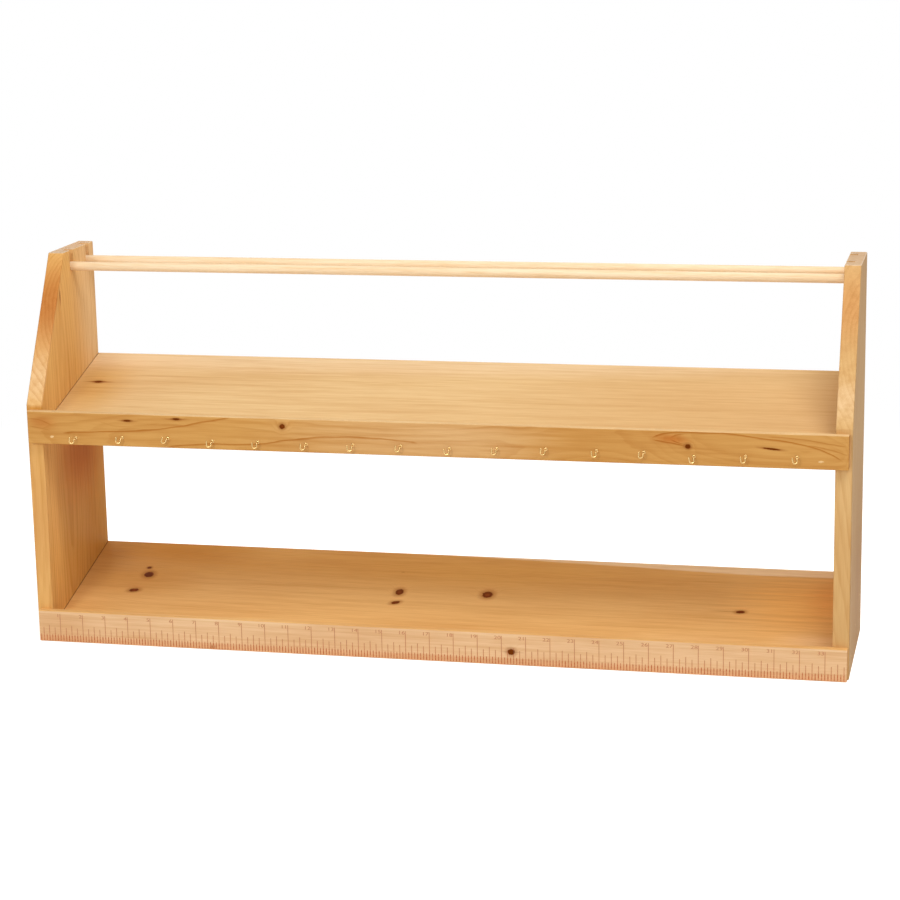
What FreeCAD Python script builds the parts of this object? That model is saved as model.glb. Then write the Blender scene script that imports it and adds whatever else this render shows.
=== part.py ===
import FreeCAD, Part
import math
import os

# Pine benchtop organizer, in millimetres.
# Two side panels carry two shelves that rise to the back. Each shelf has a thin lip nailed or glued along its
# front: the upper lip carries a row of small brass hooks, the lower lip is a wooden ruler. Two dowel rods lie
# across the top in slots that are open upwards, so that they lift out.
# X runs along the bench, Y to the back and Z up. The origin is on the bench, under the middle of the object.

# Overall sizes
OVERALL_WIDTH = 864.0           # outside the two side panels
SIDE_HEIGHT = 407.0
SIDE_DEPTH = 173.0
SIDE_THICKNESS = 17.0
SIDE_TOP_DEPTH = 89.0           # the level stretch along the top of a side panel
SLOPE_START_ABOVE_RAIL = 4.8    # how far the upright front edge runs on above the hook rail
SIDE_EDGE_ROUND = 1.2

# Shelves
SHELF_THICKNESS = 15.5
SHELF_TILT_DEG = 15.5
SHELF_EDGE_ROUND = 1.0
LOWER_SHELF_BASE = 0.0          # height of the shelf's lowest front edge above the bench
UPPER_SHELF_BASE = 217.6

# Hook rail, the lip of the upper shelf
RAIL_INSET = 3.3                # from the outside of the side panel to the rail's end
RAIL_HEIGHT = 34.9
RAIL_THICKNESS = 7.6
RAIL_EDGE_ROUND = 0.8

# Ruler, the lip of the lower shelf
RULER_LEFT_INSET = 3.4
RULER_RIGHT_INSET = 1.6
RULER_HEIGHT = 34.0
RULER_THICKNESS = 7.6
RULER_EDGE_ROUND = 0.8

# Rods and the slots that hold their ends
ROD_DIAMETER = 9.5
ROD_FRONT_SETBACK = 23.0        # from the front of the level top to the front rod's axis
ROD_BACK_SETBACK = 19.0         # from the back of the side panel to the rear rod's axis
ROD_DROP = 17.8                 # from the level top down to the rods' axes
ROD_END_CHAMFER = 0.6
ROD_CLEARANCE = 0.3             # round a rod in its slot
ROD_END_GAP = 0.5
SLOT_DEPTH = 9.0                # how far a slot is sunk into the side panel

# Shoulder hooks
HOOK_COUNT = 16
HOOK_LEFT_MARGIN = 54.2         # from the rail's left end to the nearest hook
HOOK_RIGHT_MARGIN = 50.8
HOOK_WIRE = 1.6
HOOK_FLANGE_DIAMETER = 3.6
HOOK_FLANGE_THICKNESS = 0.8
HOOK_NECK = 2.4                 # straight wire from the flange to the first bend
HOOK_SHOULDER_RADIUS = 1.9
HOOK_BOWL_RADIUS = 2.3
HOOK_DROP = 0.7                 # straight wire between the two bends
HOOK_TIP_RISE = 3.8
HOOK_SWING_DEG = 60.0           # how far the bowl is swung to the left of the screw's line
HOOK_SCREW_LENGTH = 12.0
HOOK_SCREW_DIAMETER = 1.8
HOOK_SCREW_POINT = 3.0
HOOK_AXIS_HEIGHT = 10.0         # above the lower edge of the rail
HOOK_WANDER = 2.4               # most that a hand-set hook sits above or below that height
HOOK_SHIFT = 1.5                # most that it sits to one side of its even place
HOOK_TURN_DEG = 20.0            # most that it is turned about its screw
hook_wander_shares = [-1.0, -0.2, 0.2, -0.5, -0.3, -0.5, -0.2, 0.1, -0.3, 0.3, 0.8, 0.8, 0.8, -0.3, 0.4, 0.8]
hook_shift_shares = [-0.5, 0.5, 0.8, -0.4, -1.0, 0.2, -0.3, 0.1, 0.6, 0.0, 0.1, 1.0, -0.6, -0.7, -0.1, 0.3]
hook_turn_shares = [0.4, 0.3, 1.0, 0.0, -0.1, 0.4, -0.2, 0.3, -0.2, 0.2, 0.4, -0.3, 0.4, -0.6, -0.3, -0.5]

# Finishing nails and the filler over their heads
NAIL_DIAMETER = 1.6
NAIL_HEAD_DIAMETER = 2.4
NAIL_HEAD_LENGTH = 1.4
NAIL_POINT = 2.5
SIDE_NAIL_LENGTH = 38.0
RAIL_NAIL_LENGTH = 24.0
RAIL_NAIL_FROM_END = 27.0
NAIL_SET = 1.0                  # depth of the filler over a nail's head
side_nail_shares = [0.17, 0.5, 0.83]

# A cutting shape runs on this far past the face that it opens
OVERRUN = 2.0

# Places worked out from the sizes
HOOK_SWING = math.radians(HOOK_SWING_DEG)
HOOK_PROJECTION = (HOOK_FLANGE_THICKNESS + HOOK_NECK + HOOK_SHOULDER_RADIUS
                   + 2 * HOOK_BOWL_RADIUS * math.cos(HOOK_SWING) + HOOK_WIRE / 2)
DEPTH_OVERALL = SIDE_DEPTH + RAIL_THICKNESS + HOOK_PROJECTION
BACK_Y = DEPTH_OVERALL / 2
FRONT_Y = BACK_Y - SIDE_DEPTH
TOP_FRONT_Y = BACK_Y - SIDE_TOP_DEPTH
RAIL_FACE_Y = FRONT_Y - RAIL_THICKNESS
OUTER_X = OVERALL_WIDTH / 2
INNER_X = OUTER_X - SIDE_THICKNESS
TILT = math.radians(SHELF_TILT_DEG)
SHELF_RISE = SIDE_DEPTH * math.tan(TILT)
SHELF_EDGE_HEIGHT = SHELF_THICKNESS / math.cos(TILT)
RAIL_BASE = UPPER_SHELF_BASE
RAIL_LENGTH = OVERALL_WIDTH - 2 * RAIL_INSET
HOOK_PITCH = (RAIL_LENGTH - HOOK_LEFT_MARGIN - HOOK_RIGHT_MARGIN) / (HOOK_COUNT - 1)
SLOPE_START_Z = RAIL_BASE + RAIL_HEIGHT + SLOPE_START_ABOVE_RAIL
ROD_Z = SIDE_HEIGHT - ROD_DROP
ROD_YS = {"rod_front": TOP_FRONT_Y + ROD_FRONT_SETBACK, "rod_rear": BACK_Y - ROD_BACK_SETBACK}

V = FreeCAD.Vector
ALONG_X = V(1, 0, 0)
ALONG_Y = V(0, 1, 0)
LEFT = -1
RIGHT = 1


def prism_along_x(points, x_low, x_high):
    """Solid with the outline given as (y, z) points, drawn out along X."""
    corners = [V(x_low, y, z) for y, z in points]
    wire = Part.makePolygon(corners + corners[:1])
    return Part.Face(wire).extrude(V(x_high - x_low, 0, 0))


def edges_where(solid, keep):
    """Straight edges of a solid whose two end points both pass a test."""
    return [edge for edge in solid.Edges if all(keep(vertex.Point) for vertex in edge.Vertexes)]


def near(a, b):
    """Whether two lengths are the same, apart from rounding."""
    return math.isclose(a, b, abs_tol=1e-6)


def shelf_middle_z(base, y):
    """Height of a shelf's middle plane at y."""
    return base + SHELF_EDGE_HEIGHT / 2 + (y - FRONT_Y) * math.tan(TILT)


def rod_slot(side, y):
    """Cutter for one blind slot: round at the bottom, open at the top and towards the middle."""
    radius = ROD_DIAMETER / 2 + ROD_CLEARANCE
    start = side * (INNER_X - OVERRUN)
    length = SLOT_DEPTH + OVERRUN
    seat = Part.makeCylinder(radius, length, V(start, y, ROD_Z), ALONG_X * side)
    low_x = min(start, start + side * length)
    mouth = Part.makeBox(length, 2 * radius, ROD_DROP + OVERRUN, V(low_x, y - radius, ROD_Z))
    return seat.fuse(mouth)


def side_panel(side):
    """Side panel: upright front, a slope back to the level top, rounded arrises and the two rod slots."""
    outline = [(FRONT_Y, 0), (BACK_Y, 0), (BACK_Y, SIDE_HEIGHT), (TOP_FRONT_Y, SIDE_HEIGHT),
               (FRONT_Y, SLOPE_START_Z)]
    inner, outer = sorted((side * INNER_X, side * OUTER_X))
    panel = prism_along_x(outline, inner, outer)
    panel = panel.makeFillet(SIDE_EDGE_ROUND, panel.Edges)
    for y in ROD_YS.values():
        panel = panel.cut(rod_slot(side, y))
    return panel


def shelf(base):
    """Tilted shelf board, with its front and back edges sawn plumb and its back arrises rounded."""
    outline = [(FRONT_Y, base), (BACK_Y, base + SHELF_RISE), (BACK_Y, base + SHELF_RISE + SHELF_EDGE_HEIGHT),
               (FRONT_Y, base + SHELF_EDGE_HEIGHT)]
    board = prism_along_x(outline, -INNER_X, INNER_X)
    back_edges = edges_where(board, lambda point: near(point.y, BACK_Y))
    long_edges = [edge for edge in back_edges if near(edge.Length, 2 * INNER_X)]
    return board.makeFillet(SHELF_EDGE_ROUND, long_edges)


def lip(x_low, x_high, base, height, thickness, edge_round):
    """Thin upright board in front of a shelf, with every arris rounded but those at its back."""
    board = Part.makeBox(x_high - x_low, thickness, height, V(x_low, FRONT_Y - thickness, base))
    back = edges_where(board, lambda point: near(point.y, FRONT_Y))
    front = [edge for edge in board.Edges if not any(edge.isSame(other) for other in back)]
    return board.makeFillet(edge_round, front)


def rod(y):
    """Dowel rod with its ends lightly chamfered."""
    half = INNER_X + SLOT_DEPTH - ROD_END_GAP
    dowel = Part.makeCylinder(ROD_DIAMETER / 2, 2 * half, V(-half, y, ROD_Z), ALONG_X)
    rims = [edge for edge in dowel.Edges if isinstance(edge.Curve, Part.Circle)]
    return dowel.makeChamfer(ROD_END_CHAMFER, rims)


def pointed_shank(start, direction, diameter, length, point):
    """Round shank from start along direction, with a cone for its point. The length takes in the point."""
    straight = length - point
    shank = Part.makeCylinder(diameter / 2, straight, start, direction)
    cone = Part.makeCone(diameter / 2, 0, point, start + direction * straight, direction)
    return shank.fuse(cone)


def nail(face_point, direction, length):
    """Finishing nail driven through a face along direction, its head sunk below the face."""
    top = face_point + direction * NAIL_SET
    head = Part.makeCylinder(NAIL_HEAD_DIAMETER / 2, NAIL_HEAD_LENGTH, top, direction)
    below = top + direction * NAIL_HEAD_LENGTH
    shank = pointed_shank(below, direction, NAIL_DIAMETER, length - NAIL_HEAD_LENGTH, NAIL_POINT)
    return head.fuse(shank).removeSplitter()


def filler(face_point, direction):
    """Plug of wood filler over a nail's head, flush with the face."""
    return Part.makeCylinder(NAIL_HEAD_DIAMETER / 2, NAIL_SET, face_point, direction)


def side_nail_points(side):
    """Where the nails go in through a side panel: three in the end of each shelf."""
    points = []
    for base in (LOWER_SHELF_BASE, UPPER_SHELF_BASE):
        for share in side_nail_shares:
            y = FRONT_Y + share * SIDE_DEPTH
            points.append(V(side * OUTER_X, y, shelf_middle_z(base, y)))
    return points


def rail_nail_points():
    """Where one nail at each end of the hook rail goes into the shelf's front edge."""
    x = RAIL_LENGTH / 2 - RAIL_NAIL_FROM_END
    z = RAIL_BASE + SHELF_EDGE_HEIGHT / 2
    return [V(side * x, RAIL_FACE_Y, z) for side in (LEFT, RIGHT)]


def hook_centre_line():
    """Wire path of a hook that hangs straight down from the origin: out, down, and round into the bowl, which is
    swung to the left so that it shows from the front."""
    neck_start = V(0, -HOOK_FLANGE_THICKNESS / 2, 0)
    shoulder_start = V(0, -(HOOK_FLANGE_THICKNESS + HOOK_NECK), 0)
    bend = math.sqrt(0.5)
    shoulder_middle = shoulder_start + V(0, -HOOK_SHOULDER_RADIUS * bend, -HOOK_SHOULDER_RADIUS * (1 - bend))
    shoulder_end = shoulder_start + V(0, -HOOK_SHOULDER_RADIUS, -HOOK_SHOULDER_RADIUS)
    bowl_start = shoulder_end + V(0, 0, -HOOK_DROP)
    swung = V(-math.sin(HOOK_SWING), -math.cos(HOOK_SWING), 0)
    bowl_bottom = bowl_start + swung * HOOK_BOWL_RADIUS + V(0, 0, -HOOK_BOWL_RADIUS)
    bowl_end = bowl_start + swung * (2 * HOOK_BOWL_RADIUS)
    tip = bowl_end + V(0, 0, HOOK_TIP_RISE)
    edges = [Part.LineSegment(neck_start, shoulder_start).toShape(),
             Part.Arc(shoulder_start, shoulder_middle, shoulder_end).toShape(),
             Part.LineSegment(shoulder_end, bowl_start).toShape(),
             Part.Arc(bowl_start, bowl_bottom, bowl_end).toShape(),
             Part.LineSegment(bowl_end, tip).toShape()]
    return Part.Wire(edges), neck_start, tip


def hook():
    """Brass shoulder hook at the origin: screw to the back, small flange on the face, wire with a round tip."""
    path, start, tip = hook_centre_line()
    section = Part.Wire(Part.Circle(start, ALONG_Y, HOOK_WIRE / 2).toShape())
    wire = path.makePipeShell([section], True, False)
    tip_ball = Part.makeSphere(HOOK_WIRE / 2, tip)
    flange = Part.makeCylinder(HOOK_FLANGE_DIAMETER / 2, HOOK_FLANGE_THICKNESS, V(0, 0, 0), -ALONG_Y)
    rim = [edge for edge in flange.Edges
           if isinstance(edge.Curve, Part.Circle) and near(edge.Curve.Center.y, -HOOK_FLANGE_THICKNESS)]
    flange = flange.makeFillet(HOOK_FLANGE_THICKNESS / 2, rim)
    screw = pointed_shank(V(0, 0, 0), ALONG_Y, HOOK_SCREW_DIAMETER, HOOK_SCREW_LENGTH, HOOK_SCREW_POINT)
    return wire.fuse([tip_ball, flange, screw]).removeSplitter()


def placed_hooks():
    """The row of hooks along the rail, each a little higher or lower and turned, as set by hand."""
    hooks = {}
    for index in range(HOOK_COUNT):
        wander = hook_wander_shares[index % len(hook_wander_shares)] * HOOK_WANDER
        turn = hook_turn_shares[index % len(hook_turn_shares)] * HOOK_TURN_DEG
        shift = hook_shift_shares[index % len(hook_shift_shares)] * HOOK_SHIFT
        x = -RAIL_LENGTH / 2 + HOOK_LEFT_MARGIN + index * HOOK_PITCH + shift
        one = hook()
        one.rotate(V(0, 0, 0), ALONG_Y, turn)
        one.translate(V(x, RAIL_FACE_Y, RAIL_BASE + HOOK_AXIS_HEIGHT + wander))
        hooks["hook_%02d" % (index + 1)] = one
    return hooks


def build():
    """Every piece of the organizer by name, with the wood cut out round its nails and screws."""
    hooks = placed_hooks()
    rail_nails = [nail(point, ALONG_Y, RAIL_NAIL_LENGTH) for point in rail_nail_points()]
    rail_filler = [filler(point, ALONG_Y) for point in rail_nail_points()]
    side_nails = {}
    side_filler = {}
    for side in (LEFT, RIGHT):
        inwards = ALONG_X * -side
        side_nails[side] = [nail(point, inwards, SIDE_NAIL_LENGTH) for point in side_nail_points(side)]
        side_filler[side] = [filler(point, inwards) for point in side_nail_points(side)]

    left = side_panel(LEFT).cut(side_nails[LEFT] + side_filler[LEFT])
    right = side_panel(RIGHT).cut(side_nails[RIGHT] + side_filler[RIGHT])
    lower = shelf(LOWER_SHELF_BASE).cut(side_nails[LEFT] + side_nails[RIGHT])
    upper = shelf(UPPER_SHELF_BASE).cut(side_nails[LEFT] + side_nails[RIGHT] + rail_nails + list(hooks.values()))
    rail = lip(-RAIL_LENGTH / 2, RAIL_LENGTH / 2, RAIL_BASE, RAIL_HEIGHT, RAIL_THICKNESS, RAIL_EDGE_ROUND)
    rail = rail.cut(rail_nails + rail_filler + list(hooks.values()))
    ruler = lip(-OUTER_X + RULER_LEFT_INSET, OUTER_X - RULER_RIGHT_INSET, LOWER_SHELF_BASE, RULER_HEIGHT,
                RULER_THICKNESS, RULER_EDGE_ROUND)

    pieces = {
        "side_panel_left": left,
        "side_panel_right": right,
        "shelf_lower": lower,
        "shelf_upper": upper,
        "hook_rail": rail,
        "ruler_strip": ruler,
        "side_nails_left": Part.makeCompound(side_nails[LEFT]),
        "side_nails_right": Part.makeCompound(side_nails[RIGHT]),
        "side_filler_left": Part.makeCompound(side_filler[LEFT]),
        "side_filler_right": Part.makeCompound(side_filler[RIGHT]),
        "rail_nails": Part.makeCompound(rail_nails),
        "rail_filler": Part.makeCompound(rail_filler),
    }
    pieces.update({name: rod(y) for name, y in ROD_YS.items()})
    pieces.update(hooks)
    return pieces


os.makedirs("parts", exist_ok=True)
for name, shape in build().items():
    shape.exportStep("parts/%s.step" % name)
    box = shape.BoundBox
    print("%-18s solids %2d  valid %s  volume %10.1f  X %8.2f %8.2f  Y %8.2f %8.2f  Z %7.2f %7.2f" % (
        name, len(shape.Solids), shape.isValid(), shape.Volume, box.XMin, box.XMax, box.YMin, box.YMax,
        box.ZMin, box.ZMax))
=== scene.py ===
import math

import bmesh
import bpy
import numpy as np
from mathutils import Matrix, Vector


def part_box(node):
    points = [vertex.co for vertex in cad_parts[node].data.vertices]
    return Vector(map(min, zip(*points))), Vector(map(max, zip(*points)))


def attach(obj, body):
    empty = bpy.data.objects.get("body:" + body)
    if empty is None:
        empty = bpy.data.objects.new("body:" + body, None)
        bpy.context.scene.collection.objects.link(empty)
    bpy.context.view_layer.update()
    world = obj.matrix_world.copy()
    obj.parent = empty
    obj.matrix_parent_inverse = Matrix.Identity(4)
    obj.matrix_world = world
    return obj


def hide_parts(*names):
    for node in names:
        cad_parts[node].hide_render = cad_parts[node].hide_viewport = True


bl_info = {
    "name": "Pine benchtop organizer",
    "version": (1, 0, 0),
    "blender": (4, 5, 0),
    "location": "3D View > Sidebar > Organizer",
    "description": "Finishes the organizer's boards, dowels, brass hooks and ruler, and sets its stage",
    "category": "Object",
}

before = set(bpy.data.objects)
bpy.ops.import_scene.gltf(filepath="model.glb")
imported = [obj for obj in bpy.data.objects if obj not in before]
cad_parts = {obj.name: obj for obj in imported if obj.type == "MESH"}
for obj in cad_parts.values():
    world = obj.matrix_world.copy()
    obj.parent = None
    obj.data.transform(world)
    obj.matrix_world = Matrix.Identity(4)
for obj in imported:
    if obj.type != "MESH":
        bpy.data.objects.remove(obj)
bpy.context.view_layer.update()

# Lengths below are in millimetres and are turned to metres where a mesh is made
MM = 0.001
CARCASS = "carcass"
STRAIGHT_HOOK = "hook_04"

# How a board lies: the turn that takes along-grain, across and through onto the object's X, Y and Z
SHELF_TILT = math.radians(15.5)
UPRIGHT = (0.0, -math.pi / 2, 0.0)
TILTED = (SHELF_TILT, 0.0, 0.0)
ON_EDGE = (math.pi / 2, 0.0, 0.0)

# Tones that cover the wood below them. The others tint it
MIXED_TONES = ("pale", "bright", "rose", "dark")


def linear(code):
    """Linear RGBA of an sRGB colour written as six hex digits."""
    channels = np.array([int(code[i:i + 2], 16) for i in (0, 2, 4)]) / 255
    values = np.where(channels <= 0.04045, channels / 12.92, ((channels + 0.055) / 1.055) ** 2.4)
    return (*map(float, values), 1.0)


# The boards, with places in millimetres from a board's middle.
# Rings lie round a pith beside a board: pith_across and pith_below pair a place along with a distance.
# A line is a dark ring edge that shows by itself: pairs of a place along and across, its width and strength.
# A knot is: along, across, half length, half width, lean in degrees, and how pale its heart is from 0 to 1.
# A patch is: along, across, half length, half width, lean in degrees, strength, tone. Some patches are the
# wood's own marks, and others are painted light and painted shade, each marked where it stands.
# A pale back margin is a paler strip along the back of a board: pairs of a place along and its start, its
# softness and strength. On the lower shelf it is painted light from behind.
# A skin is another tone on one face: the axis that it faces, its side, and the tone. It lies over the
# patches, and under the painted shade, which is patches again.
BOARDS = {
    "side_panel_left": {
        "tone": "left_side", "turn": UPRIGHT, "ring": 4.2, "contrast": 0.45, "seed": 3.1,
        "pith_across": ((-204, -30), (0, -20), (204, -34)), "pith_below": ((-204, 46), (40, 34), (204, 44)),
        "pale_back_margin": (((-204, 140), (0, 95), (60, 50), (204, 30)), 32.0, 0.5),
        # The skin on the outer face is painted shade
        "skins": ((2, 1, "outside"), (0, 1, "top")),
        "stains_and_painted_light": ((158, -18, 14, 2.4, 0, 1.0, "deep"), (160, -18, 7, 1.3, 0, 0.85, "dark"),
                   (153.5, 35.9, 8, 1.0, 0, 0.4, "deep"), (120, -50, 110, 5.0, 29.3, 0.45, "rose"),
                   (155, -30, 65, 5.0, 29.3, 0.5, "red"), (155, -30, 65, 5.0, 29.3, 0.65, "late"),
                   (76, -74, 40, 5.0, 29.3, 0.4, "pale"), (50, -87, 5, 7.0, 0, 0.9, "amber"),
                   # The dark patches at along 194, here and on the next line, are painted shade in the rod
                   # slots
                   (-80, -88, 150, 5.0, 0, 0.35, "rose"), (194, 21, 13, 3.4, 0, 0.55, "dark"),
                   # The red patch at along -20, and the deep one at -10 on the next line, are painted shade
                   # under the upper shelf, reddened like light bounced off the wood
                   (194, 68, 13, 3.4, 0, 0.45, "dark"), (-20, 20, 80, 110, 0, 0.9, "red"),
                   # The bright patch at along -90 is painted light on the front of the inner face, where the
                   # lamps reach in below the upper shelf
                   (-10, 20, 60, 90, 0, 0.4, "deep"), (-90, -66, 150, 26, 0, 0.4, "bright"),
                   # These amber patches are painted shade: the lower inner face turned deeper orange towards
                   # the back
                   (-120, 20, 170, 130, 0, 0.55, "amber"), (-90, 60, 130, 50, 0, 0.7, "amber"),
                   # This faint strip is painted shade on the front edge
                   (-60, -86, 180, 5.0, 0, 0.1, "late")),
    },
    "side_panel_right": {
        "tone": "right_side", "turn": UPRIGHT, "ring": 4.6, "contrast": 0.28, "seed": 8.4,
        "pith_across": ((-204, -20), (0, -36), (204, -50)), "pith_below": ((-204, 52), (60, 40), (204, 30)),
        # The skin on the outer face is painted shade
        "skins": ((2, -1, "outside"), (0, 1, "top")),
        # The dark patches at along 194 are painted shade in the rod slots
        "stains_and_painted_light": ((194, 21, 13, 3.4, 0, 0.55, "dark"), (194, 68, 13, 3.4, 0, 0.45, "dark"),
                   (165, -24, 60, 5.0, 29.3, 0.5, "red"), (80, -72, 30, 6.0, 29.3, 0.4, "pale")),
        # Painted shade: the panel's lower part darkened and greyed, seen on its outer face
        "painted_shade": ((-150, 60, 190, 170, 0, 0.2, "late"), (-130, 20, 190, 170, 0, 0.9, "top")),
    },
    "shelf_upper": {
        "tone": "upper_shelf", "turn": TILTED, "ring": 3.1, "contrast": 0.15, "seed": 1.7,
        "pith_across": ((-415, -150), (-60, -170), (415, -140)),
        "pith_below": ((-415, 60), (0, 52), (415, 60)),
        "lines": ((((-415, 30.3), (-222.7, 38.8), (-54.3, 34.1)), 2.0, 0.4),),
        "knots": ((-390, 20.3, 4.4, 2.4, 0, 0.2),),
        "pale_back_margin": (((-415, 60), (0, 62), (415, 110)), 22.0, 0.65),
        # The amber patch at along -392 is painted shade at the left end beside the left panel, orange like
        # light bounced off it
        "stains_and_painted_light": ((-388, 20.3, 24, 2.6, 0, 1.0, "deep"), (-392, 10, 56, 90, 0, 0.8, "amber"),
                   # This darker patch over the right part is painted shade cast by the right panel
                   (250, 0, 230, 140, 0, 0.36, "late")),
    },
    "shelf_lower": {
        "tone": "lower_shelf", "turn": TILTED, "ring": 2.9, "contrast": 0.2, "seed": 5.2,
        "pith_across": ((-415, -130), (0, -150), (415, -120)),
        "pith_below": ((-415, 44), (0, 56), (415, 40)),
        # Painted light: a sharp pale band along the back, where light from behind reaches past the upper
        # shelf's shade
        "pale_back_margin": (((-60, 92), (174, 83), (300, 77), (400, 76), (415, 77)), 1.6, 1.0),
        "knots": ((-343.4, 22.6, 5.2, 5.6, 20, 0.1), (-347.5, 37, 2.4, 2.2, 20, 0.5),
                  (-349.7, -10.7, 5.4, 3.2, 12, 0.85), (-54.4, 10.2, 4.4, 5.8, 0, 0.6),
                  (-54.0, -11.2, 4.8, 2.9, 24, 0.1), (41.9, 12.9, 5.6, 6.2, 0, 0.95),
                  (313.5, 1.8, 4.6, 2.6, 8, 0.1)),
        # The bright and pale patches at the right end, and the red one in the back right corner on the next
        # line, are painted light: lit and warmed by light bounced off the right panel
        "stains_and_painted_light": ((372, 20, 95, 80, 0, 1.0, "bright"), (395, -60, 60, 40, 0, 0.4, "pale"),
                   (406, 36, 36, 56, 0, 0.3, "red"), (300, 2, 24, 1.8, 0, 0.4, "deep"),
                   # The amber patches on this line and the next are painted shade: the back of the lower
                   # shelf under the upper shelf, deep orange like light bounced between the boards
                   (0, 62, 480, 66, 0, 0.72, "amber"), (-320, 60, 150, 66, 0, 0.6, "amber"),
                   (-330, 84, 150, 50, 0, 0.9, "amber"), (-345, 12, 90, 46, 0, 0.6, "amber"),
                   (20, -65, 170, 50, 0, 0.15, "late"), (270, -75, 130, 40, 0, 0.25, "pale"),
                   (-60, 51, 4, 1.6, 0, 0.4, "deep")),
    },
    "hook_rail": {
        "tone": "rail", "turn": ON_EDGE, "ring": 3.3, "contrast": 0.3, "seed": 2.9,
        "pith_across": ((-429, -3), (-365, -8), (-215, -14), (-60, -22), (90, -10), (226, 10), (330, 6),
                        (429, -2)),
        "pith_below": ((-429, 46), (-365, 40), (-215, 30), (0, 30), (150, 38), (226, 33), (330, 20),
                       (429, 30)),
        "lines": ((((-390, -4.6), (-337, -1.4), (-302.7, 0.3), (-265.5, 5.6), (-219.2, 14.5), (-204, 17)),
                   2.4, 0.95),
                  (((-348.8, 9.1), (-339.6, 6.3), (-327.2, 4.5), (-302.4, 6), (-280.7, 8.9)), 1.6, 0.35),
                  (((-275.7, -16), (-220.3, -11.2), (-183.9, -10.3), (-132.1, -3.3), (-79.8, 0.5),
                    (-4, -3.4)), 2.4, 0.95),
                  (((-429, 10), (-416, 8.6), (-405.3, 5.1), (-397.6, 1.6)), 1.8, 0.5),
                  (((-429, 1.8), (-413.5, -0.4), (-399.5, -3.3)), 1.8, 0.5),
                  (((233.2, 8.4), (243.7, 13.7), (259, 16.2), (306.4, 16.2), (342.4, 12.6), (379.6, 8.1),
                    (408.4, -0.2), (423.5, -8.8)), 2.2, 1.0),
                  (((233.2, 8.4), (243.7, 5.8), (254.9, 4.8), (270.3, 1.7)), 1.8, 0.95),
                  (((251.4, 9.7), (256.3, 12.4), (268, 14.4)), 1.8, 0.8),
                  (((251.4, 9.7), (256.3, 7.2), (270, 3.4)), 1.8, 0.8),
                  (((268, 1.4), (295, -1), (312, -1.9)), 1.5, 0.4),
                  (((347.9, 14.4), (379.5, 13), (402.8, 9.5), (429, 6.2)), 1.8, 0.7),
                  (((386.4, 6.9), (402.8, 4.6), (416.5, 1.5), (429, -2.8)), 1.8, 0.7),
                  (((389.4, -12.8), (403.1, -13.8), (429, -11)), 1.8, 0.3)),
        "knots": ((-317.3, 10.3, 3.6, 1.0, 0, 0.0), (-263.3, 13.6, 3.6, 1.1, 0, 0.0),
                  (-148.7, 9.3, 2.8, 2.6, 0, 1.0), (270.4, 1.9, 2.7, 2.3, 0, 0.1),
                  (353.5, 2.0, 8.2, 0.9, -5, 0.0)),
        "skins": ((1, 1, "upper_shelf"),),
        "stains_and_painted_light": ((-317, 10.3, 15, 1.8, 0, 0.6, "deep"), (-263, 13.6, 20, 1.8, 0, 0.6, "deep"),
                   (254, 9, 26, 7, -4, 0.8, "red"), (60, 4, 110, 40, 0, 0.12, "pale"),
                   (-20, 0, 190, 60, 0, 0.24, "pale"), (-412, 6, 22, 11, 0, 0.5, "red"),
                   (-414, 6, 16, 9, 0, 0.15, "deep")),
    },
    "ruler_strip": {
        "tone": "ruler", "turn": ON_EDGE, "ring": 2.6, "contrast": 0.12, "seed": 6.6,
        "pith_across": ((-429, -70), (429, -90)), "pith_below": ((-429, 30), (429, 24)),
        "knots": ((87.7, -2.8, 3.7, 3.2, 0, 0.2),), "skins": ((1, 1, "lower_shelf"),),
        "stains_and_painted_light": ((87.7, -2.8, 18, 1.4, 0, 0.4, "deep"), (-234.4, -14, 5, 4, 0, 0.7, "deep"),
                   (0, -19, 4000, 11, 0, 0.45, "red"), (-410, 0, 60, 40, 0, 0.35, "late"),
                   # The pale strip at across 15.2 is a painted highlight along the top front arris
                   (0, 15.2, 4000, 1.6, 0, 0.35, "pale")),
    },
}

# The ruler's print: a mark's height is a share of the strip's, for an inch, a half, a quarter and an eighth
INCH = 25.4 * MM
EIGHTHS = 8
LAST_INCH = 33
ZERO_PAST_END = 1.05 * MM
MARK_HEIGHTS = (0.91, 0.54, 0.46, 0.24)
MARK_FOOT = 0.9 * MM
MARK_MARGIN = 0.8 * MM
INK_PROUD = 0.05 * MM
INK_SUNK = 0.05 * MM


# Properties that a user would change

def colour_property(name, description, code):
    """A colour that a user can pick, with its default written as six hex digits."""
    return bpy.props.FloatVectorProperty(
        name=name, description=description, subtype="COLOR", size=4, min=0, max=1, default=linear(code))


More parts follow.
